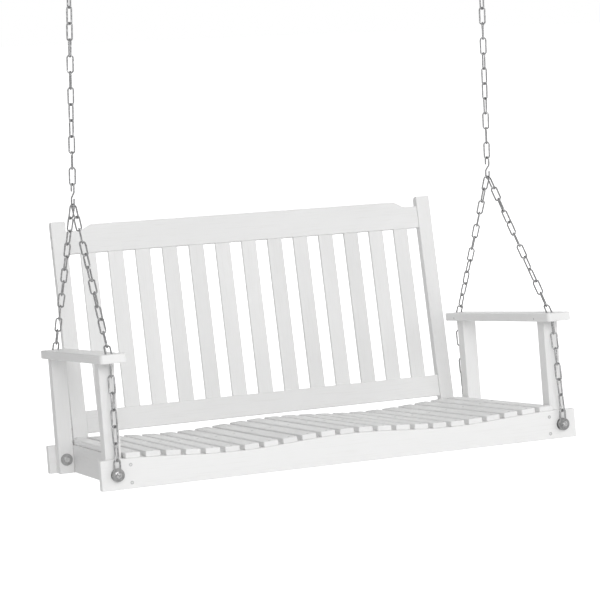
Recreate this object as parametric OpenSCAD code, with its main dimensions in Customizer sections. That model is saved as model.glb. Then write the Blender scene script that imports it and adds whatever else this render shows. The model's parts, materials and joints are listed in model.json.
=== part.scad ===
// Two-seat wooden porch swing on long-link chains
// Frame: origin midway between the two ceiling eyes, +Z up, the front faces -Y
// Left and right are as seen from the front
// The bench is drawn square in its own frame, then placed where it hangs at rest

/* [Bench] */
// Length of the front and rear boards
bench_width = 1200; // [1000:10:1500]
// Depth over the front and rear boards
bench_depth = 558; // [460:2:640]
// Height of the frame boards
board_height = 70; // [50:1:110]
// Thickness of the front and rear boards
board_thickness = 22; // [16:1:32]
// Thickness of the side boards
side_thickness = 28; // [18:1:36]
// How far the front and rear boards reach past the posts
ear_length = 18.5; // [5:0.5:60]

/* [Seat] */
// Number of seat slats
seat_slats = 23; // [9:2:35]
// Gap between seat slats
seat_gap = 12; // [5:0.5:25]
// Thickness of a seat slat
seat_slat_thickness = 13; // [9:0.5:22]
// Depth of the scoop under each sitter
seat_dip = 12; // [0:0.5:20]

/* [Arms] */
// Width of an arm post across the bench
post_width = 38; // [28:1:60]
// Depth of an arm post
post_depth = 36; // [24:1:60]
// Height of the arm's underside over the frame boards
arm_height = 218.5; // [160:0.5:280]
// Thickness of an arm
arm_thickness = 21; // [15:0.5:32]
// Width of an arm
arm_width = 63; // [50:1:120]
// How far the arm reaches outward past its posts
arm_overhang = 8.5; // [0:0.5:30]
// How far the arm reaches ahead of the front board
arm_front = 38; // [10:1:80]
// How far the arm reaches behind the rear board
arm_rear = 24; // [16:1:60]
// Radius of the arm's front corners
arm_front_radius = 9; // [2:0.5:25]
// Radius of the arm's rear corners
arm_rear_radius = 12; // [2:0.5:25]

/* [Back] */
// Lean of the back from square
back_recline = 6.7; // [0:0.1:20]
// Length of the back above the frame boards
back_height = 565; // [400:5:700]
// Outer face of a back post from the middle
back_half_width = 526.5; // [400:0.5:700]
// Width of a back post
back_post_width = 38; // [25:1:60]
// Thickness of a back post
back_post_thickness = 22; // [16:1:35]
// Number of back slats
back_slats = 13; // [5:2:25]
// Distance from one back slat to the next
back_slat_pitch = 72.5; // [50:0.5:120]
// Width of a back slat
back_slat_width = 40.5; // [20:0.5:80]
// Thickness of a back slat
back_slat_thickness = 10; // [6:0.5:18]
// Underside of the top rail along the back
top_rail_low = 480; // [300:1:600]
// Highest edge of the top rail along the back
top_rail_high = 554; // [350:1:680]
// Drop of the top rail's shoulders
shoulder_drop = 15; // [0:1:40]
// Underside of the bottom rail along the back
bottom_rail_low = 20; // [15:1:100]
// Top of the bottom rail along the back
bottom_rail_high = 77; // [40:1:160]

/* [Chains] */
// Wire of the chain links
chain_wire = 4; // [3:0.1:6]
// Outer width of a link
link_width = 18; // [14:0.5:26]
// Distance from one link to the next
link_pitch = 38; // [34:0.1:44]
// Length of the S-hook that joins the chains
hook_length = 60; // [50:1:80]
// Links in each upper chain
upper_links = 13; // [5:1:40]
// Links from the S-hook down to the arm
branch_links = 12; // [10:1:16]
// Links from the arm down to the bolt
lower_links = 7; // [6:1:9]
// Twist from link to link in an upper chain
upper_twist = 75.5; // [65:0.5:90]
// Twist from link to link in a branch
branch_twist = 68.2; // [65:0.1:90]
// Backward tilt at which the empty bench hangs
hang_tilt = 8.98; // [-10:0.01:30]

/* [Hidden] */
$fn = 48;
white = [0.93, 0.93, 0.92];
steel = [0.62, 0.63, 0.64];
play = 0.1; // clearance around joinery
hair = 0.05; // gap between steel pieces that bear on each other

half_width = bench_width / 2;
post_out = half_width - ear_length;
post_in = post_out - post_width;
front_post_y = board_thickness;
rear_post_y = bench_depth - board_thickness - post_depth;

seat_edge = 3.25; // from the outer slat to the side board's face
slat_width = (2 * (post_in - seat_edge) - (seat_slats - 1) * seat_gap) / seat_slats;
slat_pitch = slat_width + seat_gap;
scoop_span = seat_slats * slat_pitch / 2;
function dip(x) = seat_dip / 2 * (1 - cos(360 * abs(x) / scoop_span));
function gap_x(k) = (k - seat_slats / 2) * slat_pitch;
function facet_x(k) = (gap_x(k) + gap_x(k + 1)) / 2;
function facet_z(k) = -(dip(gap_x(k)) + dip(gap_x(k + 1))) / 2;
function facet_tilt(k) = atan2(dip(gap_x(k + 1)) - dip(gap_x(k)), slat_pitch);

arm_out = post_out + arm_overhang;
arm_in = arm_out - arm_width;
tenon = 20; // square stub on top of an arm post
tenon_height = 14;
chain_hole = 15; // radius of the holes in the arms
front_hole_y = 4.5;
rear_hole_y = 556;

middle_board_height = 52;
housing = 6; // depth of the middle board's seats in the side boards
rail_thickness = 20;
slat_setback = 5;
slat_entry = 12; // length of a back slat inside a rail
shoulder_flat = 32;
shoulder_run = 40;
back_post_foot = 66;
back_foot_y = bench_depth;
back_plane_y = bench_depth + 0.5;

bolt = 4; // radius of a chain bolt
bolt_x = (post_out + post_in) / 2;
bolt_z = -board_height / 2;
washer = 15;
washer_thickness = 2;
washer_set = 8.7; // from the board's face to the outer washer, with the link between
bolt_reach = 22; // from the board's face to the bolt's end
hex_flats = 13;
head_height = 5.3;
nut_height = 6.8;

screw = 2.2; // radius of a wood screw
screw_head = 4.2;
seat_screw = 1.6;
seat_screw_head = 3.2;
seat_screw_inset = 11;

crown = (link_width - chain_wire) / 2; // radius of a link's bent ends
leg = link_pitch + hair - 2 * crown + chain_wire;
link_length = leg + 2 * crown; // between the middles of a link's bent ends
eye_ring = 13; // radius of a ceiling eye's ring
eye_wire = 6;
eye_shank = 60;
eye_play = 0.4; // running gap between an eye and its link
eye_seat = eye_ring - eye_wire / 2 - chain_wire / 2 - eye_play;
join_seat = crown - chain_wire - 0.5;
join_spread = 66; // how far apart the two branches sit in the S-hook

hook_drop = hook_length - chain_wire; // between the middles of an S-hook's bent ends
hook_bend = 20; // from the end of an S-hook to where it crosses over
hook_elbow = chain_wire + 0.3; // ball that rounds that corner
hook_turn = 12; // turn of the S-hooks from the line of the bench's depth

drop = eye_seat + upper_links * link_pitch + hook_drop - crown;
nest = chain_wire + hair; // between the middles of two linked wires
branch_length = (branch_links - 1) * link_pitch + link_length;
lower_length = (lower_links - 2) * link_pitch + link_length - 2 * nest;
lower_twist = 540 / lower_links;
link_y = 4.7; // from a board's face to the middle of the link on its bolt
link_lean = 5.3; // lean of that link, which holds the next one off the board
link_seat = bolt_z - bolt - chain_wire / 2 - hair;
apex_y = 280.5; // join of the two branches, in the bench's frame
apex_z = 592.5;
chain_lean = 1.48; // the eyes sit closer together than the chain bolts
hole_x = bolt_x - tan(chain_lean) * (arm_height + arm_thickness / 2 - bolt_z);
apex_x = bolt_x - tan(chain_lean) * (apex_z - bolt_z);
eye_x = apex_x - sin(chain_lean) * drop;

// A point of the bench, as it hangs, seen from the join of its chains
function hung_y(p) = (p[1] - apex_y) * cos(hang_tilt) + (p[2] - apex_z) * sin(hang_tilt);
function hung_z(p) = (p[2] - apex_z) * cos(hang_tilt) - (p[1] - apex_y) * sin(hang_tilt);
function hung(p) = [p[0], hung_y(p), hung_z(p) - drop * cos(chain_lean)];

module left() mirror([1, 0, 0]) children();

module both() {
  children();
  left() children();
}

// Puts what is drawn in the bench's own frame where the bench hangs
module in_bench()
  translate([0, 0, -drop * cos(chain_lean)]) rotate([-hang_tilt, 0, 0])
    translate([0, -apex_y, -apex_z]) children();

// Frame of the leaning back: Z runs up its front face, Y goes rearward
module in_back() translate([0, back_plane_y, 0]) rotate([-back_recline, 0, 0]) children();

// Frame of one seat slat: Z up from its underside
module in_slat(k) translate([facet_x(k), 0, facet_z(k)]) rotate([0, facet_tilt(k), 0]) children();

// A wood screw with its head's flat at the origin, pointing along +Z
module screw_shape(radius, head, length, extra) {
  cylinder(r = radius + extra, h = length);
  cylinder(r1 = head + extra, r2 = radius + extra, h = head);
  if (extra > 0) translate([0, 0, -3]) cylinder(r = head + extra, h = 3);
}

// The outer slats' middle screws go into the side boards, clear of the middle board
function middle_screw_y(k) = bench_depth / 2 + (k == 0 || k == seat_slats - 1 ? 30 : 0);

// Every screw of the bench, wider by extra when it cuts its hole
module seat_slat_screws(k, extra)
  for (y = [seat_screw_inset, middle_screw_y(k), bench_depth - seat_screw_inset])
    in_slat(k) translate([0, y, seat_slat_thickness]) rotate([180, 0, 0])
      screw_shape(seat_screw, seat_screw_head, 32, extra);

module board_screws(extra)
  both() for (z = [-15, -56]) {
    translate([post_in - 14, 0, z]) rotate([-90, 0, 0]) screw_shape(screw, screw_head, 60, extra);
    translate([post_in - 14, bench_depth, z]) rotate([90, 0, 0])
      screw_shape(screw, screw_head, 60, extra);
  }

module arm_screws(extra)
  both() for (y = [front_post_y + post_depth / 2, rear_post_y + post_depth / 2])
    translate([arm_in, y, arm_height + tenon_height / 2]) rotate([0, 90, 0])
      screw_shape(screw, 2.8, bolt_x - arm_in + 6, extra);

module foot_screws(extra)
  both() for (z = [-18, -50])
    translate([back_half_width - back_post_width / 2, foot_rear(z), z]) rotate([90, 0, 0])
      screw_shape(screw, screw_head, 36, extra);

module rail_screws(extra)
  in_back() both() for (z = [bottom_rail_low + 15, bottom_rail_high - 15, 500, 526])
    translate([back_half_width, rail_thickness / 2, z]) rotate([0, -90, 0])
      screw_shape(screw, 3.6, 65, extra);

// Rear face of a back post's foot at a height in the bench frame, behind the tilt of its face
function foot_rear(z) =
  back_plane_y + back_post_thickness / cos(back_recline) + z * tan(back_recline) - 1;

module wood_screws() in_bench() color(steel) {
  for (k = [0:seat_slats - 1]) seat_slat_screws(k, 0);
  board_screws(0);
  arm_screws(0);
  foot_screws(0);
  rail_screws(0);
}

// Outline of a frame board under the seat, in X and Z
module seat_outline(height)
  polygon(concat(
    [[-half_width, -height], [-half_width, 0]],
    [for (k = [0:seat_slats]) [gap_x(k), -dip(gap_x(k))]],
    [[half_width, 0], [half_width, -height]]
  ));

module seat_bearer(x0, x1, y0, y1, height)
  translate([0, y1, 0]) rotate([90, 0, 0]) linear_extrude(y1 - y0) intersection() {
    seat_outline(height);
    translate([x0, -height - 1]) square([x1 - x0, height + 2]);
  }

module bolt_hole() both() translate([bolt_x, -1, bolt_z]) rotate([-90, 0, 0])
  cylinder(r = bolt + 0.2, h = bench_depth + 2);

module front_board() in_bench() color(white) difference() {
  seat_bearer(-half_width, half_width, 0, board_thickness, board_height);
  bolt_hole();
  board_screws(play / 2);
  for (k = [0:seat_slats - 1]) seat_slat_screws(k, play / 2);
}

module rear_board() in_bench() color(white) difference() {
  seat_bearer(-half_width, half_width, bench_depth - board_thickness, bench_depth, board_height);
  bolt_hole();
  board_screws(play / 2);
  foot_screws(play / 2);
  for (k = [0:seat_slats - 1]) seat_slat_screws(k, play / 2);
}

middle_y = (bench_depth - board_thickness) / 2;
middle_end = post_in - side_thickness + housing - play;

module middle_board() in_bench() color(white) difference() {
  seat_bearer(-middle_end, middle_end, middle_y, middle_y + board_thickness, middle_board_height);
  for (k = [0:seat_slats - 1]) seat_slat_screws(k, play / 2);
}

module side_board() difference() {
  seat_bearer(post_in - side_thickness, post_in, board_thickness, bench_depth - board_thickness,
    board_height);
  translate([post_in - side_thickness - 1, middle_y - play, -middle_board_height - play])
    cube([housing + 1, board_thickness + 2 * play, board_height]);
  board_screws(play / 2);
  seat_slat_screws(seat_slats - 1, play / 2);
}

module right_side_board() in_bench() color(white) side_board();

module left_side_board() in_bench() color(white) left() side_board();

module seat_slat(k) in_bench() color(white) difference() {
  in_slat(k) translate([-slat_width / 2, 0, 0])
    cube([slat_width, bench_depth, seat_slat_thickness]);
  seat_slat_screws(k, play / 2);
}

module arm_post(y0) {
  difference() {
    translate([post_in, y0, -board_height])
      cube([post_width, post_depth, arm_height + board_height]);
    bolt_hole();
  }
  difference() {
    translate([bolt_x - tenon / 2, y0 + (post_depth - tenon) / 2, arm_height - 1])
      cube([tenon, tenon, tenon_height + 1]);
    arm_screws(play / 2);
  }
}

module right_front_arm_post() in_bench() color(white) arm_post(front_post_y);

module left_front_arm_post() in_bench() color(white) left() arm_post(front_post_y);

module right_rear_arm_post() in_bench() color(white) arm_post(rear_post_y);

module left_rear_arm_post() in_bench() color(white) left() arm_post(rear_post_y);

module arm_plan() {
  y0 = -arm_front;
  y1 = bench_depth + arm_rear;
  translate([arm_in + arm_front_radius, y0])
    square([arm_width - 2 * arm_front_radius, arm_front_radius]);
  translate([arm_in, y0 + arm_front_radius])
    square([arm_width, y1 - y0 - arm_front_radius - arm_rear_radius]);
  translate([arm_in + arm_rear_radius, y1 - arm_rear_radius])
    square([arm_width - 2 * arm_rear_radius, arm_rear_radius]);
  for (x = [arm_in + arm_front_radius, arm_out - arm_front_radius])
    translate([x, y0 + arm_front_radius]) circle(r = arm_front_radius);
  for (x = [arm_in + arm_rear_radius, arm_out - arm_rear_radius])
    translate([x, y1 - arm_rear_radius]) circle(r = arm_rear_radius);
}

module arm() difference() {
  translate([0, 0, arm_height]) linear_extrude(arm_thickness) arm_plan();
  for (y = [front_hole_y, rear_hole_y])
    translate([hole_x, y, arm_height - 1]) cylinder(r = chain_hole, h = arm_thickness + 2);
  for (y0 = [front_post_y, rear_post_y])
    translate([
      bolt_x - tenon / 2 - play, y0 + (post_depth - tenon) / 2 - play, arm_height - 1
    ]) cube([tenon + 2 * play, tenon + 2 * play, tenon_height + 1 + play]);
  arm_screws(play / 2);
}

module right_arm() in_bench() color(white) arm();

module left_arm() in_bench() color(white) left() arm();

post_round = 12; // rounding of a back post's rear top edge

module back_post_side() {
  difference() {
    translate([0, -80]) square([back_post_thickness, back_height + 80]);
    translate([back_post_thickness - post_round, back_height - post_round])
      square([post_round + 1, post_round + 1]);
  }
  translate([back_post_thickness - post_round, back_height - post_round]) circle(r = post_round);
}

module back_post() difference() {
  in_back() translate([back_half_width - back_post_width, 0, 0]) rotate([90, 0, 90])
    linear_extrude(back_post_width) back_post_side();
  translate([0, back_foot_y - 60, -120]) cube([half_width, 60, 125]);
  translate([0, back_foot_y - 60, -120]) cube([half_width, 120, 120 - back_post_foot]);
  foot_screws(play / 2);
  rail_screws(play / 2);
}

module right_back_post() in_bench() color(white) back_post();

module left_back_post() in_bench() color(white) left() back_post();

rail_end = back_half_width - back_post_width;
shoulder_steps = 10;
function ogee(t) = shoulder_drop * (1 + cos(180 * t)) / 2;

module top_rail_outline()
  polygon(concat(
    [[-rail_end, top_rail_low], [-rail_end, top_rail_high - shoulder_drop]],
    [for (i = [0:shoulder_steps]) [
      -rail_end + shoulder_flat + shoulder_run * i / shoulder_steps,
      top_rail_high - ogee(i / shoulder_steps)
    ]],
    [for (i = [shoulder_steps:-1:0]) [
      rail_end - shoulder_flat - shoulder_run * i / shoulder_steps,
      top_rail_high - ogee(i / shoulder_steps)
    ]],
    [[rail_end, top_rail_high - shoulder_drop], [rail_end, top_rail_low]]
  ));

function back_slat_x(j) = (j - (back_slats - 1) / 2) * back_slat_pitch;

module back_slat_shape(j, extra)
  translate([
    back_slat_x(j) - back_slat_width / 2 - extra, slat_setback - extra,
    bottom_rail_high - slat_entry - extra
  ]) cube([
    back_slat_width + 2 * extra, back_slat_thickness + 2 * extra,
    top_rail_low - bottom_rail_high + 2 * slat_entry + 2 * extra
  ]);

module back_top_rail() in_bench() color(white) difference() {
  in_back() translate([0, rail_thickness, 0]) rotate([90, 0, 0])
    linear_extrude(rail_thickness) top_rail_outline();
  in_back() for (j = [0:back_slats - 1]) back_slat_shape(j, play);
  rail_screws(play / 2);
}

module back_bottom_rail() in_bench() color(white) difference() {
  in_back() translate([-rail_end, 0, bottom_rail_low])
    cube([2 * rail_end, rail_thickness, bottom_rail_high - bottom_rail_low]);
  in_back() for (j = [0:back_slats - 1]) back_slat_shape(j, play);
  rail_screws(play / 2);
}

module back_slat(j) in_bench() color(white) in_back() back_slat_shape(j, 0);

// One link, hanging from the middle of its upper bend, flat in the XZ plane
module link() translate([0, 0, -crown]) {
  rotate([90, 0, 0]) rotate_extrude(angle = 180) translate([crown, 0]) circle(d = chain_wire);
  for (x = [-crown, crown]) translate([x, 0, -leg]) cylinder(d = chain_wire, h = leg);
  translate([0, 0, -leg]) rotate([-90, 0, 0]) rotate_extrude(angle = 180)
    translate([crown, 0]) circle(d = chain_wire);
}

// One S-hook, hung and drawn in the same way
module hook() {
  cross = [2 * crown, 0, hook_drop - 2 * hook_bend];
  for (flip = [0, 180])
    translate([0, 0, -hook_drop / 2]) rotate([0, flip, 0]) translate([0, 0, hook_drop / 2 - crown]) {
      rotate([90, 0, 0]) rotate_extrude(angle = 180) translate([crown, 0]) circle(d = chain_wire);
      for (x = [-crown, crown])
        translate([x, 0, crown - hook_bend]) cylinder(d = chain_wire, h = hook_bend - crown);
      translate([crown, 0, crown - hook_bend]) sphere(d = hook_elbow);
    }
  translate([crown, 0, -hook_bend]) rotate([0, 180 + atan2(cross[0], cross[2]), 0])
    cylinder(d = chain_wire, h = norm(cross));
}

// Puts what hangs straight down where it hangs from one point toward another
module toward(from, to) {
  d = to - from;
  translate(from) rotate([atan2(d[1], -d[2]), 0, 0]) rotate([0, asin(-d[0] / norm(d)), 0]) children();
}

// Links that hang from one point toward another, each turned from the one before
module chain_run(from, to, links, first_turn, turn_step)
  toward(from, to) for (i = [0:links - 1])
    translate([0, 0, -i * link_pitch]) rotate([0, 0, first_turn + i * turn_step]) link();

apex = [apex_x, 0, -drop * cos(chain_lean)];
eye = [eye_x, 0, 0];

// Both sides' chains twist the same way, so a side that is mirrored is drawn with its turns reversed
module upper_chain(hand) {
  top = eye + eye_seat / drop * (apex - eye);
  chain_run(top, apex, upper_links, hand * (upper_links - 1) * upper_twist - 6 * hand,
    -hand * upper_twist);
  toward(top, apex) translate([0, 0, -upper_links * link_pitch])
    rotate([0, 0, hand * hook_turn - 90]) hook();
}

// Where a chain of two straight lengths, held outward by the arm, bends between its ends
function bend_point(from, to, side) =
  let (
    d = to - from,
    span = norm(d),
    e = d / span,
    along = (pow(branch_length, 2) - pow(lower_length, 2) + span * span) / (2 * span),
    off = sqrt(pow(branch_length, 2) - along * along),
    outward = cross(e, [1, 0, 0])
  ) from + along * e + side * off * outward / norm(outward);

// One branch and its lower chain, from the S-hook over the arm to the bolt
module hanger(side, hand, board_face, twist) {
  spread = side * join_seat * sin(join_spread);
  start = apex + [-hand * spread * sin(hook_turn), spread * cos(hook_turn),
    -join_seat * cos(join_spread)];
  seat = [bolt_x, board_face + side * link_y, link_seat];
  last = hung(seat + link_length * [0, side * sin(link_lean), cos(link_lean)]);
  bend = bend_point(start, last, -side);
  chain_run(start, bend, branch_links, hand * (branch_links - 1) * twist, -hand * twist);
  chain_run(bend - nest / norm(last - bend) * (last - bend), last, lower_links - 1,
    hand * lower_twist, hand * lower_twist);
  chain_run(last, hung(seat), 1, 0, 0);
}

module hanger_chain(hand, rear_twist) {
  hanger(-1, hand, 0, branch_twist);
  hanger(1, hand, bench_depth, rear_twist);
}

module right_upper_chain() color(steel) upper_chain(1);

module left_upper_chain() color(steel) left() upper_chain(-1);

module right_hanger_chain() color(steel) hanger_chain(1, -900 / (branch_links - 1));

module left_hanger_chain() color(steel) left() hanger_chain(-1, 84.5);

module ceiling_eyes() color(steel) both() translate(eye) {
  rotate([0, 90, 0]) rotate_extrude() translate([eye_ring, 0]) circle(d = eye_wire);
  translate([0, 0, eye_ring]) cylinder(r1 = 2.9, r2 = 4, h = 7);
  translate([0, 0, eye_ring + 7]) cylinder(r = 4, h = eye_shank - 17);
  translate([0, 0, eye_ring + eye_shank - 10]) cylinder(r1 = 4, r2 = 0.8, h = 10);
}

// Turns a fastener drawn along +Z so that it leaves the front or the rear board
module at_front() both() translate([bolt_x, 0, bolt_z]) rotate([90, 0, 0]) children();

module at_rear() both() translate([bolt_x, bench_depth, bolt_z]) rotate([-90, 0, 0]) children();

grip = board_thickness + post_depth;

module hex(height) cylinder(r = hex_flats / sqrt(3), h = height, $fn = 6);

module bolt_shape() {
  reach = grip + washer_thickness + hair;
  translate([0, 0, -reach]) cylinder(r = bolt, h = reach + bolt_reach);
  translate([0, 0, -reach - head_height]) hex(head_height);
}

module washer_ring() difference() {
  cylinder(r = washer, h = washer_thickness);
  translate([0, 0, -1]) cylinder(r = bolt + 0.3, h = washer_thickness + 2);
}

module washer_set_of_bolt()
  for (z = [washer_set, hair, -grip - washer_thickness]) translate([0, 0, z]) washer_ring();

module nut_shape() translate([0, 0, washer_set + washer_thickness]) difference() {
  hex(nut_height);
  translate([0, 0, -1]) cylinder(r = bolt + hair, h = nut_height + 2);
}

module chain_bolts() in_bench() color(steel) {
  at_front() bolt_shape();
  at_rear() bolt_shape();
}

module bolt_washers() in_bench() color(steel) {
  at_front() washer_set_of_bolt();
  at_rear() washer_set_of_bolt();
}

module bolt_nuts() in_bench() color(steel) {
  at_front() nut_shape();
  at_rear() nut_shape();
}

ceiling_eyes();
left_upper_chain();
right_upper_chain();
left_hanger_chain();
right_hanger_chain();
front_board();
rear_board();
middle_board();
left_side_board();
right_side_board();
seat_slat(0);  // seat_slat_01
seat_slat(1);  // seat_slat_02
seat_slat(2);  // seat_slat_03
seat_slat(3);  // seat_slat_04
seat_slat(4);  // seat_slat_05
seat_slat(5);  // seat_slat_06
seat_slat(6);  // seat_slat_07
seat_slat(7);  // seat_slat_08
seat_slat(8);  // seat_slat_09
seat_slat(9);  // seat_slat_10
seat_slat(10);  // seat_slat_11
seat_slat(11);  // seat_slat_12
seat_slat(12);  // seat_slat_13
seat_slat(13);  // seat_slat_14
seat_slat(14);  // seat_slat_15
seat_slat(15);  // seat_slat_16
seat_slat(16);  // seat_slat_17
seat_slat(17);  // seat_slat_18
seat_slat(18);  // seat_slat_19
seat_slat(19);  // seat_slat_20
seat_slat(20);  // seat_slat_21
seat_slat(21);  // seat_slat_22
seat_slat(22);  // seat_slat_23
left_back_post();
right_back_post();
back_top_rail();
back_bottom_rail();
back_slat(0);  // back_slat_01
back_slat(1);  // back_slat_02
back_slat(2);  // back_slat_03
back_slat(3);  // back_slat_04
back_slat(4);  // back_slat_05
back_slat(5);  // back_slat_06
back_slat(6);  // back_slat_07
back_slat(7);  // back_slat_08
back_slat(8);  // back_slat_09
back_slat(9);  // back_slat_10
back_slat(10);  // back_slat_11
back_slat(11);  // back_slat_12
back_slat(12);  // back_slat_13
left_front_arm_post();
right_front_arm_post();
left_rear_arm_post();
right_rear_arm_post();
left_arm();
right_arm();
chain_bolts();
bolt_washers();
bolt_nuts();
wood_screws();
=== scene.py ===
import json
import math
import random

import bpy
import numpy as np
from mathutils import Matrix, Vector


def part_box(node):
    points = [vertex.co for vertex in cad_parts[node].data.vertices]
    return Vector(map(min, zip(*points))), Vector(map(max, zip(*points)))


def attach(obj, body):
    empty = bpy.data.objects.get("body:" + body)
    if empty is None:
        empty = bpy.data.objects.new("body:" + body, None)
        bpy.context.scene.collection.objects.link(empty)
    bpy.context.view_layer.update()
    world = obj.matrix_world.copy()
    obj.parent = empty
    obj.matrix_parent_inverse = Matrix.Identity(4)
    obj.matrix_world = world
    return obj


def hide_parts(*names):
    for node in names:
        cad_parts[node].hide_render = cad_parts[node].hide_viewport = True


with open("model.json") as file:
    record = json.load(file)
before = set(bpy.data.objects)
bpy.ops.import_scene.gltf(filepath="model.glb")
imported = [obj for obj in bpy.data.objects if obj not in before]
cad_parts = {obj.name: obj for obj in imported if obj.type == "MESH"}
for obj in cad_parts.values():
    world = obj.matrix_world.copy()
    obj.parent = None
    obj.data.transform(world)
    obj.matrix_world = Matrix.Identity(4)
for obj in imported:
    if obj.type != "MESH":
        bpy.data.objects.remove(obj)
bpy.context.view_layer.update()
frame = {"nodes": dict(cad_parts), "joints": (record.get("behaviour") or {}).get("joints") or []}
nodes = frame["nodes"]
mm = 0.001
near = 0.1 * mm  # what counts as the same place
tiny = 0.01 * mm

# where the square bench hangs, and how its back leans
hang = {
    "tilt": 8.98,
    "joinY": 280.5 * mm,
    "joinZ": 592.5 * mm,
    "depth": 558 * mm,
    "recline": 6.7,
    "recess": 0.5 * mm,
}
rockAt = next(j for j in frame["joints"] if j["name"] == "rock")["pos_m"]
bench = (
    Matrix.Translation(rockAt)
    @ Matrix.Rotation(math.radians(-hang["tilt"]), 4, "X")
    @ Matrix.Translation((0, -hang["joinY"], -hang["joinZ"]))
)
back = (
    bench
    @ Matrix.Translation((0, hang["depth"] + hang["recess"], 0))
    @ Matrix.Rotation(math.radians(-hang["recline"]), 4, "X")
)


def clearSelection():
    if bpy.context.object and bpy.context.object.mode != "OBJECT":
        bpy.ops.object.mode_set(mode="OBJECT")
    bpy.ops.object.select_all(action="DESELECT")


def pickUp(piece):
    clearSelection()
    piece.select_set(True)
    bpy.context.view_layer.objects.active = piece
    return piece


def added(name):
    piece = bpy.context.object
    piece.name = piece.data.name = name
    return piece


def boxIn(node, place):
    # low and high corner of a CAD node, square to the frame that place gives
    turn = np.array(place.inverted())
    corners = np.array([v.co for v in nodes[node].data.vertices])
    corners = corners @ turn[:3, :3].T + turn[:3, 3]
    return Vector(corners.min(0)), Vector(corners.max(0))


def sawBoard(name, low, high):
    clearSelection()
    low, high = Vector(low), Vector(high)
    bpy.ops.mesh.primitive_cube_add(size=1, location=(low + high) / 2, scale=high - low)
    piece = added(name)
    bpy.ops.object.transform_apply(location=True, rotation=False, scale=True)
    return piece


def turnRod(name, radius, depth, at, corners=32):
    clearSelection()
    bpy.ops.mesh.primitive_cylinder_add(vertices=corners, radius=radius, depth=depth, location=at)
    piece = added(name)
    bpy.ops.object.transform_apply(location=True, rotation=True, scale=False)
    return piece


def pickVertices(piece, wanted):
    # leaves the piece in edit mode with the wanted vertices selected
    pickUp(piece)
    bpy.ops.object.mode_set(mode="EDIT")
    bpy.ops.mesh.select_mode(type="VERT")
    bpy.ops.mesh.select_all(action="DESELECT")
    bpy.ops.object.mode_set(mode="OBJECT")
    for v in piece.data.vertices:
        v.select = bool(wanted(v.co))
    bpy.ops.object.mode_set(mode="EDIT")


def pickEdges(piece, wanted):
    pickUp(piece)
    bpy.ops.object.mode_set(mode="EDIT")
    bpy.ops.mesh.select_mode(type="EDGE")
    bpy.ops.mesh.select_all(action="DESELECT")
    bpy.ops.object.mode_set(mode="OBJECT")
    points = piece.data.vertices
    for e in piece.data.edges:
        a, b = points[e.vertices[0]].co, points[e.vertices[1]].co
        e.select = bool(wanted(a, b))
    bpy.ops.object.mode_set(mode="EDIT")


def cutAcross(piece, places, along=(1, 0, 0)):
    # new edge loops across a board, for bending its outline
    pickUp(piece)
    bpy.ops.object.mode_set(mode="EDIT")
    for s in places:
        bpy.ops.mesh.select_all(action="SELECT")
        bpy.ops.mesh.bisect(plane_co=Vector(along) * s, plane_no=along)
    bpy.ops.object.mode_set(mode="OBJECT")


def moveVertices(piece, wanted, by):
    pickVertices(piece, wanted)
    bpy.ops.transform.translate(value=by)
    bpy.ops.object.mode_set(mode="OBJECT")


def carve(piece, cutter):
    # takes the cutter's shape out of the piece
    pickUp(piece)
    cut = piece.modifiers.new("Cut", "BOOLEAN")
    cut.operation = "DIFFERENCE"
    cut.solver = "EXACT"
    cut.object = cutter
    bpy.ops.object.modifier_apply(modifier="Cut")
    bpy.data.objects.remove(cutter)


def easeEdges(piece, width, segments=3, angle=35):
    pickUp(piece)
    bpy.ops.object.shade_smooth()
    ease = piece.modifiers.new("Ease", "BEVEL")
    ease.width = width
    ease.segments = segments
    ease.limit_method = "ANGLE"
    ease.angle_limit = math.radians(angle)
    ease.harden_normals = True
    bpy.ops.object.modifier_apply(modifier="Ease")


def smoothSteel(piece, angle):
    pickUp(piece)
    bpy.ops.object.shade_smooth_by_angle(angle=math.radians(angle))


def settle(piece, place):
    # moves a piece drawn in its own frame to where that frame is
    pickUp(piece)
    piece.matrix_world = place
    bpy.context.view_layer.update()
    bpy.ops.object.transform_apply(location=True, rotation=True, scale=True)


def grainPlace(piece, place, along):
    # each board keeps its own place in the timber, with the grain along its length
    turn = np.array(place.inverted())
    points = np.zeros(len(piece.data.vertices) * 3)
    piece.data.vertices.foreach_get("co", points)
    points = points.reshape(-1, 3) @ turn[:3, :3].T + turn[:3, 3]
    points = points[:, {"x": [0, 1, 2], "y": [1, 2, 0], "z": [2, 0, 1]}[along]]
    points = points + [random.uniform(0, 40), random.uniform(0, 9), random.uniform(0, 9)]
    grain = piece.data.attributes.new("boardPlace", "FLOAT_VECTOR", "POINT")
    grain.data.foreach_set("vector", points.astype(np.float32).ravel())


def setMaterial(piece, material):
    piece.data.materials.clear()
    piece.data.materials.append(material)


def finishWood(piece, place, along, node=None, body="bench"):
    settle(piece, place)
    grainPlace(piece, place, along)
    setMaterial(piece, paintedWood)
    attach(piece, body)
    if node:
        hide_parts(node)


def finishSteel(piece, material, node=None, body="bench"):
    setMaterial(piece, material)
    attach(piece, body)
    if node:
        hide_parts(node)


def copyTo(model, name, place):
    # a copy with its own mesh, moved by its vertices
    piece = model.copy()
    piece.data = model.data.copy()
    piece.name = piece.data.name = name
    bpy.context.scene.collection.objects.link(piece)
    piece.data.transform(place)
    piece.data.update()
    return piece


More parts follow.
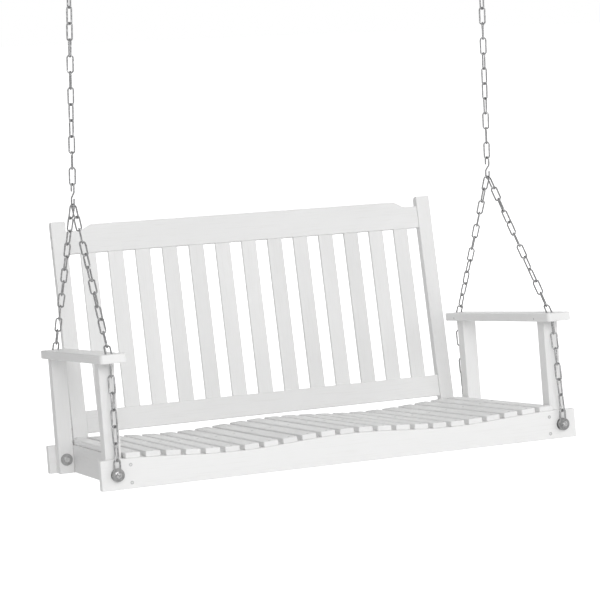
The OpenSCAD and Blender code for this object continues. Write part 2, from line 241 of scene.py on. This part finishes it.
def looseParts(node):
    # the separate solids of one CAD node: their points, middle and own axes, longest first
    clearSelection()
    copy = nodes[node].copy()
    copy.data = nodes[node].data.copy()
    copy.parent = None
    bpy.context.scene.collection.objects.link(copy)
    pickUp(copy)
    bpy.ops.object.mode_set(mode="EDIT")
    bpy.ops.mesh.select_all(action="SELECT")
    bpy.ops.mesh.remove_doubles(threshold=1e-6)
    bpy.ops.mesh.separate(type="LOOSE")
    bpy.ops.object.mode_set(mode="OBJECT")
    found = []
    for part in list(bpy.context.selected_objects):
        points = np.array([v.co for v in part.data.vertices])
        middle = points.mean(0)
        _, axes = np.linalg.eigh(np.cov((points - middle).T))
        found.append((points, middle, axes[:, ::-1]))
        bpy.data.objects.remove(part)
    return found


def standUp(middle, up, side):
    # a right-handed place with Z along up and X near side
    z = Vector(up).normalized()
    y = z.cross(Vector(side)).normalized()
    x = y.cross(z)
    turn = Matrix((x, y, z)).transposed().to_4x4()
    return Matrix.Translation(Vector(middle)) @ turn


def newMaterial(name):
    material = bpy.data.materials.new(name)
    material.use_nodes = True
    tree = material.node_tree
    return material, tree.nodes, tree.links, tree.nodes["Principled BSDF"]


def noiseNode(tree, links, source, scale, detail, stretch=(1, 1, 1)):
    spread = tree.new("ShaderNodeMapping")
    spread.inputs["Scale"].default_value = stretch
    links.new(source, spread.inputs["Vector"])
    noise = tree.new("ShaderNodeTexNoise")
    noise.inputs["Scale"].default_value = scale
    noise.inputs["Detail"].default_value = detail
    links.new(spread.outputs["Vector"], noise.inputs["Vector"])
    return noise.outputs["Fac"]


def rampNode(tree, links, source, stops):
    ramp = tree.new("ShaderNodeValToRGB")
    for i, (at, color) in enumerate(stops):
        stop = ramp.color_ramp.elements[i] if i < 2 else ramp.color_ramp.elements.new(at)
        stop.position = at
        stop.color = (*color, 1)
    links.new(source, ramp.inputs["Fac"])
    return ramp.outputs["Color"]


def rangeNode(tree, links, source, low, high):
    spread = tree.new("ShaderNodeMapRange")
    spread.inputs["To Min"].default_value = low
    spread.inputs["To Max"].default_value = high
    links.new(source, spread.inputs["Value"])
    return spread.outputs["Result"]


def bumpNode(tree, links, source, strength, distance, under=None):
    bump = tree.new("ShaderNodeBump")
    bump.inputs["Strength"].default_value = strength
    bump.inputs["Distance"].default_value = distance
    links.new(source, bump.inputs["Height"])
    if under:
        links.new(under, bump.inputs["Normal"])
    return bump.outputs["Normal"]


paint = {
    "light": (0.885, 0.885, 0.882),
    "shade": (0.835, 0.835, 0.832),
    "rough": (0.36, 0.50),
    "grainBump": 0.35,
    "brushBump": 0.25,
}


def makePaintedWood():
    material, tree, links, shader = newMaterial("paintedWood")
    place = tree.new("ShaderNodeAttribute")
    place.attribute_name = "boardPlace"
    source = place.outputs["Vector"]
    tone = noiseNode(tree, links, source, 1.0, 2, (0.7, 4, 4))  # board to board
    grain = noiseNode(tree, links, source, 1.0, 6, (14, 420, 420))  # pores under the paint
    brush = noiseNode(tree, links, source, 1.0, 4, (5, 1500, 1500))  # bristle lines
    coat = noiseNode(tree, links, source, 38, 3)
    color = rampNode(tree, links, tone, [(0.34, paint["shade"]), (0.58, paint["light"])])
    pores = rampNode(tree, links, grain, [(0.30, (0.965, 0.963, 0.958)), (0.46, (1, 1, 1))])
    mix = tree.new("ShaderNodeMix")
    mix.data_type = "RGBA"
    mix.blend_type = "MULTIPLY"
    mix.inputs["Factor"].default_value = 1
    links.new(color, mix.inputs["A"])
    links.new(pores, mix.inputs["B"])
    links.new(mix.outputs["Result"], shader.inputs["Base Color"])
    links.new(rangeNode(tree, links, coat, *paint["rough"]), shader.inputs["Roughness"])
    normal = bumpNode(tree, links, grain, paint["grainBump"], 0.0004)
    normal = bumpNode(tree, links, brush, paint["brushBump"], 0.0002, normal)
    links.new(normal, shader.inputs["Normal"])
    shader.inputs["Specular IOR Level"].default_value = 0.4
    return material


def makeSteel(name, dark, light, rough, metallic, spangle):
    # zinc coat: crystals of slightly different tone, dulled in patches
    material, tree, links, shader = newMaterial(name)
    place = tree.new("ShaderNodeTexCoord").outputs["Object"]
    cells = tree.new("ShaderNodeTexVoronoi")
    cells.inputs["Scale"].default_value = spangle
    links.new(place, cells.inputs["Vector"])
    level = tree.new("ShaderNodeSeparateColor")
    links.new(cells.outputs["Color"], level.inputs["Color"])
    color = rampNode(tree, links, level.outputs["Red"], [(0.0, dark), (1.0, light)])
    links.new(color, shader.inputs["Base Color"])
    patches = noiseNode(tree, links, place, 160, 4)
    links.new(rangeNode(tree, links, patches, *rough), shader.inputs["Roughness"])
    pits = noiseNode(tree, links, place, 900, 3)
    links.new(bumpNode(tree, links, pits, 0.25, 0.00015), shader.inputs["Normal"])
    shader.inputs["Metallic"].default_value = metallic
    return material


paintedWood = makePaintedWood()
chainZinc = makeSteel(
    "chainZinc", (0.32, 0.32, 0.325), (0.55, 0.55, 0.555), (0.20, 0.40), 0.95, 420
)
washerZinc = makeSteel(
    "washerZinc", (0.34, 0.34, 0.34), (0.48, 0.48, 0.48), (0.24, 0.42), 0.95, 300
)
nutZinc = makeSteel("nutZinc", (0.62, 0.62, 0.62), (0.76, 0.76, 0.76), (0.16, 0.30), 0.95, 300)
screwZinc = makeSteel(
    "screwZinc", (0.50, 0.50, 0.50), (0.64, 0.64, 0.64), (0.40, 0.60), 0.4, 700
)
print("materials ready")

random.seed(7)

seat = {
    "slats": 23,
    "pitch": 47.5 * mm,
    "dip": 12 * mm,
    "edge": 2.2 * mm,  # rounding of the slats' edges
    "boardEdge": 2.0 * mm,
}
scoopSpan = seat["slats"] * seat["pitch"] / 2


def dip(x):
    return seat["dip"] / 2 * (1 - math.cos(math.tau * abs(x) / scoopSpan))


def gapX(k):
    return (k - seat["slats"] / 2) * seat["pitch"]


def seatBoard(node, name):
    # a board on edge whose top follows the two scoops of the seat
    low, high = boxIn(node, bench)
    piece = sawBoard(name, low, high)
    lines = [gapX(k) for k in range(seat["slats"] + 1) if low.x < gapX(k) < high.x]
    cutAcross(piece, lines)
    for x in lines:
        if dip(x) > tiny:
            moveVertices(
                piece,
                lambda p, x=x: abs(p.x - x) < near and p.z > high.z - near,
                (0, 0, -dip(x)),
            )
    easeEdges(piece, seat["boardEdge"])
    finishWood(piece, bench, "x", node)


for where in ("front", "rear", "middle"):
    seatBoard(where + "_board", where + "Board")

for side in ("left", "right"):
    low, high = boxIn(side + "_side_board", bench)
    piece = sawBoard(side + "SideBoard", low, high)
    easeEdges(piece, seat["boardEdge"])
    finishWood(piece, bench, "y", side + "_side_board")

for k in range(seat["slats"]):
    node = f"seat_slat_{k + 1:02d}"
    x0, x1 = gapX(k), gapX(k + 1)
    tilt = math.atan2(dip(x1) - dip(x0), x1 - x0)
    slat = (
        bench
        @ Matrix.Translation(((x0 + x1) / 2, 0, -(dip(x0) + dip(x1)) / 2))
        @ Matrix.Rotation(tilt, 4, "Y")
    )
    piece = sawBoard(f"seatSlat{k + 1:02d}", *boxIn(node, slat))
    easeEdges(piece, seat["edge"])
    finishWood(piece, slat, "y", node)
print("seat ready")

arms = {
    "frontRound": 9 * mm,
    "rearRound": 12 * mm,
    "edge": 2.4 * mm,
    "postEdge": 1.8 * mm,
    "holeX": 555.68 * mm,
    "holeY": (4.5 * mm, 556 * mm),
    "hole": 15 * mm,
}


def roundCorner(piece, width, wanted):
    pickEdges(piece, wanted)
    bpy.ops.mesh.bevel(offset=width, segments=8, affect="EDGES")
    bpy.ops.object.mode_set(mode="OBJECT")


for side, hand in (("left", -1), ("right", 1)):
    low, high = boxIn(side + "_arm", bench)
    piece = sawBoard(side + "Arm", low, high)
    for y, width in ((low.y, arms["frontRound"]), (high.y, arms["rearRound"])):
        roundCorner(
            piece,
            width,
            lambda a, b, y=y: max(abs(a.y - y), abs(b.y - y)) < tiny and abs(a.z - b.z) > mm,
        )
    for y in arms["holeY"]:
        at = (hand * arms["holeX"], y, (low.z + high.z) / 2)
        carve(piece, turnRod("holeCutter", arms["hole"], 0.06, at, corners=48))
    easeEdges(piece, arms["edge"], 3, 50)
    finishWood(piece, bench, "y", side + "_arm")

    for end in ("front", "rear"):
        node = f"{side}_{end}_arm_post"
        postLow, postHigh = boxIn(node, bench)
        postHigh.z = low.z + 0.5 * mm  # the stub above it is inside the arm
        piece = sawBoard(side + end.capitalize() + "ArmPost", postLow, postHigh)
        easeEdges(piece, arms["postEdge"])
        finishWood(piece, bench, "z", node)
print("arms ready")

backrest = {
    "postRound": 12 * mm,
    "edge": 2.0 * mm,
    "slatEdge": 1.8 * mm,
    "slats": 13,
    "hidden": 10 * mm,  # of each slat's end, inside a rail
    "shoulderFlat": 32 * mm,
    "shoulderRun": 40 * mm,
    "shoulderDrop": 15 * mm,
    "steps": 10,
    "footCuts": ((hang["depth"], 5 * mm), (620 * mm, -66 * mm)),
    "cutFront": 490 * mm,
    "cutLow": -130 * mm,
    "spare": 10 * mm,
    "footSpare": 20 * mm,
}

for side in ("left", "right"):
    node = side + "_back_post"
    low, high = boxIn(node, back)
    low.z -= backrest["footSpare"]
    piece = sawBoard(side + "BackPost", low, high)
    roundCorner(
        piece,
        backrest["postRound"],
        lambda a, b: min(a.y, b.y) > high.y - tiny and min(a.z, b.z) > high.z - tiny,
    )
    settle(piece, bench.inverted() @ back)
    for rear, top in backrest["footCuts"]:  # what the rear board and the floor side take off
        corner = (low.x - backrest["spare"], backrest["cutFront"], backrest["cutLow"])
        foot = sawBoard("footCutter", corner, (high.x + backrest["spare"], rear, top))
        carve(piece, foot)
    easeEdges(piece, backrest["edge"], 3, 40)
    finishWood(piece, bench, "z", node)


def ogee(t):
    return backrest["shoulderDrop"] * (1 + math.cos(math.pi * t)) / 2


low, high = boxIn("back_top_rail", back)
piece = sawBoard("backTopRail", low, high)
shoulders = []
for i in range(backrest["steps"] + 1):
    t = i / backrest["steps"]
    x = high.x - backrest["shoulderFlat"] - backrest["shoulderRun"] * t
    shoulders += [(x, ogee(t)), (-x, ogee(t))]
innerEnd = high.x - backrest["shoulderFlat"] - backrest["shoulderRun"]
shoulders = [s for s in shoulders if s[1] > tiny]
cutAcross(piece, [x for x, _ in shoulders] + [-innerEnd, innerEnd])
shoulders += [(end, backrest["shoulderDrop"]) for end in (high.x, -high.x)]
for x, drop in shoulders:
    moveVertices(piece, lambda p: abs(p.x - x) < near and p.z > high.z - tiny, (0, 0, -drop))
easeEdges(piece, backrest["edge"], 3, 40)
finishWood(piece, back, "x", "back_top_rail")

piece = sawBoard("backBottomRail", *boxIn("back_bottom_rail", back))
easeEdges(piece, backrest["edge"])
finishWood(piece, back, "x", "back_bottom_rail")

for j in range(backrest["slats"]):
    node = f"back_slat_{j + 1:02d}"
    low, high = boxIn(node, back)
    low.z += backrest["hidden"]
    high.z -= backrest["hidden"]
    piece = sawBoard(f"backSlat{j + 1:02d}", low, high)
    easeEdges(piece, backrest["slatEdge"])
    finishWood(piece, back, "z", node)
print("back ready")

chain = {
    "wire": 4 * mm,
    "width": 18 * mm,
    "length": 46.05 * mm,  # over a link's ends
    "weld": 1.14,  # swelling where the wire's ends are joined
    "weldStep": 1.1 * mm,
    "hookDrop": 56 * mm,
    "hookBend": 20 * mm,
}
crown = (chain["width"] - chain["wire"]) / 2
leg = chain["length"] - chain["width"]


def bendLink():
    clearSelection()
    bpy.ops.mesh.primitive_torus_add(
        major_radius=crown, minor_radius=chain["wire"] / 2, major_segments=24,
        minor_segments=12, rotation=(math.pi / 2, 0, 0),
    )
    piece = added("linkModel")
    bpy.ops.object.transform_apply(location=True, rotation=True, scale=True)
    moveVertices(piece, lambda p: p.z < -tiny, (0, 0, -leg))
    moveVertices(piece, lambda p: True, (0, 0, leg / 2))
    step = chain["weldStep"]
    cutAcross(piece, [step * k for k in (-2, -1, 0, 1, 2)], (0, 0, 1))
    for place, grow in ((0, chain["weld"]), (step, (1 + chain["weld"]) / 2)):
        pickVertices(piece, lambda p: p.x > 0 and abs(abs(p.z) - place) < near)
        bpy.ops.transform.resize(value=(grow, grow, 1), center_override=(crown, 0, 0))
        bpy.ops.object.mode_set(mode="OBJECT")
    smoothSteel(piece, 80)
    return piece


def bendWire(name, points, radius):
    # wire bent along a line of points, then made a mesh
    line = bpy.data.curves.new(name, "CURVE")
    line.dimensions = "3D"
    line.bevel_depth = radius
    line.bevel_resolution = 4
    line.use_fill_caps = True
    spline = line.splines.new("POLY")
    spline.points.add(len(points) - 1)
    for point, place in zip(spline.points, points):
        point.co = (*place, 1)
    piece = bpy.data.objects.new(name, line)
    bpy.context.scene.collection.objects.link(piece)
    pickUp(piece)
    bpy.ops.object.convert(target="MESH")
    return added(name)


def arc(centerX, centerZ, radius, start, end, steps):
    angles = [math.radians(start + (end - start) * i / steps) for i in range(steps + 1)]
    return [(centerX + radius * math.cos(a), 0, centerZ + radius * math.sin(a)) for a in angles]


def bendHook():
    # an S of wire about its own middle: a half drawn once and turned for the other
    half = chain["hookDrop"] / 2
    shoulder = half - chain["hookBend"]
    top = [(-crown, 0, shoulder), (-crown, 0, half - crown)]
    top += arc(0, half - crown, crown, 180, 0, 14)[1:-1]
    top += [(crown, 0, half - crown), (crown, 0, shoulder + 1.5 * mm)]
    top += [(crown * 0.93, 0, shoulder - 1.2 * mm)]
    other = [(-x, 0, -z) for x, _, z in reversed(top)]
    return bendWire("hookModel", top + other, chain["wire"] / 2)


link, hook = bendLink(), bendHook()
smoothSteel(hook, 60)
for node, body in (
    ("left_upper_chain", "upper_chains"),
    ("right_upper_chain", "upper_chains"),
    ("left_hanger_chain", "bench"),
    ("right_hanger_chain", "bench"),
):
    parts = looseParts(node)
    stem = "".join(w.capitalize() if i else w for i, w in enumerate(node.split("_")))
    parts.sort(key=lambda p: (p[1][1] > rockAt[1], -p[1][2]))
    middles = [p[1] for p in parts]
    for i, (points, middle, axes) in enumerate(parts):
        reach = np.ptp((points - middle) @ axes[:, 0])
        name = f"{stem}{i + 1:02d}"
        if reach > chain["length"] * 1.15:  # only the S-hook is longer than a link
            down = Vector(middles[0] - middles[1])
            side = Vector(axes[:, 1])
            side = side if side.y < 0 else -side
            piece = copyTo(hook, name, standUp(middle, down, side))
        else:
            piece = copyTo(link, name, standUp(middle, axes[:, 0], axes[:, 1]))
        finishSteel(piece, chainZinc, node if i == 0 else None, body)
for model in (link, hook):
    bpy.data.objects.remove(model)
print("chains ready")

fixings = {
    "eyeWire": 6 * mm,
    "ring": 13 * mm,
    "thread": 0.45 * mm,
    "shank": 4 * mm,
    "core": 3.5 * mm,  # of a ceiling eye's shank, inside its thread
    "point": 0.2,  # the tip's share of the core
    "taper": 10 * mm,
    "eyeLead": 2.6 * mm,
    "boltLead": 1.25 * mm,
    "boltCore": 3.62 * mm,
    "boltThread": 26 * mm,
    "boltRidge": 3.55 * mm,
    "boltTip": 1.2 * mm,  # left plain past the thread
    "eyeThread": 28 * mm,  # where an eye's thread starts, above its ring
    "washerEdge": 0.45 * mm,
    "nutEdge": 0.5 * mm,
    "boltEdge": 0.6 * mm,
    "head": 5.3 * mm,
    "washerThick": 2 * mm,
    "bolt": 4 * mm,
    "washer": 15 * mm,
    "washerBore": 4.3 * mm,
    "flats": 13 * mm,
}


def threadRidge(name, radius, start, end, lead):
    # a ridge that winds up a shank along Z
    steps = int((end - start) / lead * 14)
    points = []
    for i in range(steps + 1):
        t = i / steps
        a = math.tau * t * (end - start) / lead
        points.append((radius * math.cos(a), radius * math.sin(a), start + (end - start) * t))
    return bendWire(name, points, fixings["thread"])


def joinUp(name, *pieces):
    clearSelection()
    for piece in pieces:
        piece.select_set(True)
    bpy.context.view_layer.objects.active = pieces[0]
    bpy.ops.object.join()
    return added(name)


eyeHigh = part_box("ceiling_eyes")[1]
eyeX = eyeHigh.x - fixings["shank"]
for side, hand in (("left", -1), ("right", 1)):
    clearSelection()
    bpy.ops.mesh.primitive_torus_add(
        major_radius=fixings["ring"], minor_radius=fixings["eyeWire"] / 2,
        major_segments=48, minor_segments=16, rotation=(0, math.pi / 2, 0),
    )
    ring = added("ring")
    bpy.ops.object.transform_apply(location=True, rotation=True, scale=True)
    middle = (eyeHigh.z + fixings["ring"]) / 2
    shank = turnRod("shank", fixings["core"], eyeHigh.z - fixings["ring"], (0, 0, middle))
    pickVertices(shank, lambda p: p.z > eyeHigh.z - near)
    point = fixings["point"]
    bpy.ops.transform.resize(value=(point, point, 1), center_override=(0, 0, eyeHigh.z))
    bpy.ops.object.mode_set(mode="OBJECT")
    neck = eyeHigh.z - fixings["taper"]
    cutAcross(shank, (neck,), (0, 0, 1))
    around = [v.co for v in shank.data.vertices if abs(v.co.z - neck) < near]
    grow = fixings["core"] / max(math.hypot(p.x, p.y) for p in around)
    pickVertices(shank, lambda p: abs(p.z - neck) < near)
    bpy.ops.transform.resize(value=(grow, grow, 1), center_override=(0, 0, neck))
    bpy.ops.object.mode_set(mode="OBJECT")
    start, lead = fixings["eyeThread"], fixings["eyeLead"]
    ridge = threadRidge("ridge", fixings["core"], start, neck - mm, lead)
    eye = joinUp(side + "CeilingEye", ring, shank, ridge)
    smoothSteel(eye, 50)
    settle(eye, Matrix.Translation((hand * eyeX, 0, 0)))
    finishSteel(eye, chainZinc, "ceiling_eyes" if side == "left" else None, "ceiling_eyes")


def ringWasher():
    disc = turnRod("washerModel", fixings["washer"], fixings["washerThick"], (0, 0, 0), corners=56)
    carve(disc, turnRod("boreCutter", fixings["washerBore"], 0.01, (0, 0, 0), corners=32))
    easeEdges(disc, fixings["washerEdge"], 2, 50)
    return disc


def hexNut(name, height, bore):
    nut = turnRod(name, fixings["flats"] / math.sqrt(3), height, (0, 0, 0), corners=6)
    easeEdges(nut, fixings["nutEdge"], 2, 30)
    carve(nut, turnRod("boreCutter", bore, 0.02, (0, 0, 0), corners=28))
    smoothSteel(nut, 30)
    return nut


washers = ringWasher()
for i, (points, middle, axes) in enumerate(looseParts("bolt_washers")):
    piece = copyTo(washers, f"boltWasher{i + 1:02d}", standUp(middle, axes[:, 2], axes[:, 0]))
    finishSteel(piece, washerZinc, "bolt_washers" if i == 0 else None)
bpy.data.objects.remove(washers)

nutParts = looseParts("bolt_nuts")
nutHeight = min(np.ptp((nutParts[0][0] - nutParts[0][1]) @ nutParts[0][2], axis=0))
nuts = hexNut("nutModel", nutHeight, fixings["bolt"] - 0.3 * mm)
for i, (points, middle, axes) in enumerate(nutParts):
    low, high = Vector(points.min(0)), Vector(points.max(0))
    out = (bench.to_3x3() @ Vector((0, -1, 0))) * (1 if middle[1] < rockAt[1] else -1)
    place = standUp((low + high) / 2, out, bench.to_3x3() @ Vector((1, 0, 0)))
    piece = copyTo(nuts, f"boltNut{i + 1}", place)
    finishSteel(piece, nutZinc, "bolt_nuts" if i == 0 else None)
bpy.data.objects.remove(nuts)

boltParts = looseParts("chain_bolts")
for i, (points, middle, axes) in enumerate(boltParts):
    out = (bench.to_3x3() @ Vector((0, -1, 0))) * (1 if middle[1] < rockAt[1] else -1)
    along = (points - middle) @ np.array(out)
    place = standUp(middle, out, bench.to_3x3() @ Vector((1, 0, 0)))
    if i == 0:
        end, foot = along.max(), along.min()
        core, corner = fixings["boltCore"], fixings["flats"] / math.sqrt(3)
        shaft = turnRod("shaft", core, end - foot - mm, (0, 0, (end + foot) / 2), corners=24)
        easeEdges(shaft, fixings["boltEdge"], 2, 50)
        start, stop = end - fixings["boltThread"], end - fixings["boltTip"]
        ridge = threadRidge("ridge", fixings["boltRidge"], start, stop, fixings["boltLead"])
        middleOfHead = foot + fixings["head"] / 2
        head = turnRod("head", corner, fixings["head"], (0, 0, middleOfHead), corners=6)
        easeEdges(head, fixings["nutEdge"], 2, 30)
        bolts = joinUp("boltModel", shaft, ridge, head)
        smoothSteel(bolts, 30)
    piece = copyTo(bolts, f"chainBolt{i + 1}", place)
    finishSteel(piece, nutZinc, "chain_bolts" if i == 0 else None)
bpy.data.objects.remove(bolts)
print("fixings ready")

screws = {"depth": 1.1 * mm, "proud": 0.25 * mm, "slot": 0.9 * mm}


def screwHead(radius):
    # a flat head with a cross recess
    middle = screws["proud"] - screws["depth"] / 2
    head = turnRod("screwModel", radius, screws["depth"], (0, 0, middle), corners=20)
    for turn in (0, math.pi / 2):
        clearSelection()
        top = (0, 0, screws["proud"])
        bpy.ops.mesh.primitive_cube_add(size=1, location=top, rotation=(0, 0, turn))
        slot = added("slotCutter")
        slot.scale = (radius * 1.15, screws["slot"], screws["depth"])
        bpy.ops.object.transform_apply(location=True, rotation=True, scale=True)
        carve(head, slot)
    smoothSteel(head, 30)
    return head


models = {}
for i, (points, middle, axes) in enumerate(looseParts("wood_screws")):
    along = (points - middle) @ axes[:, 0]
    across = np.linalg.norm((points - middle) - np.outer(along, axes[:, 0]), axis=1)
    ends = [
        across[along < along.min() + tiny].max(),
        across[along > along.max() - tiny].max(),
    ]
    sign = 1 if ends[1] > ends[0] else -1
    radius = round(max(ends), 4)
    if radius not in models:
        models[radius] = screwHead(radius)
    out = Vector(axes[:, 0]) * sign
    centre = points[(along * sign) > (along * sign).max() - tiny].mean(0)
    turned = Matrix.Rotation(random.uniform(0, math.pi / 2), 4, "Z")
    side = Vector((1, 0, 0)) if abs(out.x) < 0.7 else Vector((0, 0, 1))
    piece = copyTo(models[radius], f"woodScrew{i + 1:02d}", standUp(centre, out, side) @ turned)
    finishSteel(piece, screwZinc, "wood_screws" if i == 0 else None)
for model in models.values():
    bpy.data.objects.remove(model)
print("screws ready")

studio = {
    "floorZ": -1.45,
    "key": 118,
    "fill": 44,
    "rear": 45,
    "sky": (0.36, 0.66),  # light from the horizon and from overhead
    "floorGlow": 0.75,
    "target": (0, 0, -0.9),  # what the three lamps point at
}

clearSelection()
bpy.ops.mesh.primitive_plane_add(size=60, location=(0, 0, studio["floorZ"]))
floor = added("studioFloor")
floorPaint, tree, links, shader = newMaterial("floorPaint")
shader.inputs["Base Color"].default_value = (0.93, 0.93, 0.93, 1)
shader.inputs["Roughness"].default_value = 0.9
shader.inputs["Specular IOR Level"].default_value = 0.1
shader.inputs["Emission Color"].default_value = (1, 1, 1, 1)
glow = tree.new("ShaderNodeMath")  # the floor shows white but lights the bench as a plain floor
glow.operation = "MULTIPLY"
glow.inputs[1].default_value = studio["floorGlow"]
links.new(tree.new("ShaderNodeLightPath").outputs["Is Camera Ray"], glow.inputs[0])
links.new(glow.outputs["Value"], shader.inputs["Emission Strength"])
setMaterial(floor, floorPaint)


def areaLight(name, place, target, size, power):
    clearSelection()
    bpy.ops.object.light_add(type="AREA", location=place)
    lamp = bpy.context.object
    lamp.name = name
    lamp.data.size = size
    lamp.data.energy = power
    lamp.rotation_euler = (Vector(target) - Vector(place)).to_track_quat("-Z", "Y").to_euler()
    lamp.visible_camera = False


areaLight("keyLight", (-1.1, -5.6, 1.5), studio["target"], 2.4, studio["key"])
areaLight("fillLight", (4.2, -3.6, 0.8), studio["target"], 3.0, studio["fill"])
areaLight("rearLight", (1.6, 5.4, 1.2), studio["target"], 3.0, studio["rear"])

world = bpy.context.scene.world or bpy.data.worlds.new("studioWorld")
bpy.context.scene.world = world
world.use_nodes = True
tree, links = world.node_tree.nodes, world.node_tree.links
tree.clear()
seen = tree.new("ShaderNodeBackground")
seen.inputs["Color"].default_value = (1, 1, 1, 1)
lighting = tree.new("ShaderNodeBackground")
lighting.inputs["Color"].default_value = (1, 1, 1, 1)
height = tree.new("ShaderNodeSeparateXYZ")
links.new(tree.new("ShaderNodeTexCoord").outputs["Generated"], height.inputs["Vector"])
links.new(rangeNode(tree, links, height.outputs["Z"], *studio["sky"]), lighting.inputs["Strength"])
rays = tree.new("ShaderNodeLightPath")
choose = tree.new("ShaderNodeMixShader")
output = tree.new("ShaderNodeOutputWorld")
links.new(rays.outputs["Is Camera Ray"], choose.inputs["Fac"])
links.new(lighting.outputs["Background"], choose.inputs[1])
links.new(seen.outputs["Background"], choose.inputs[2])
links.new(choose.outputs["Shader"], output.inputs["Surface"])

clearSelection()
bpy.ops.object.camera_add(
    location=(-1.67648, -4.67187, 0.02453),
    rotation=[math.radians(a) for a in (80.2337, 1.4587, -20.2565)],
)
camera = bpy.context.object
camera.name = "viewCamera"
camera.data.lens = 120.71
camera.data.sensor_width = 36
camera.data.clip_end = 100
bpy.context.scene.camera = camera
bpy.context.scene.view_settings.view_transform = "Standard"
bpy.context.scene.view_settings.look = "None"
print("studio ready")

clearSelection()
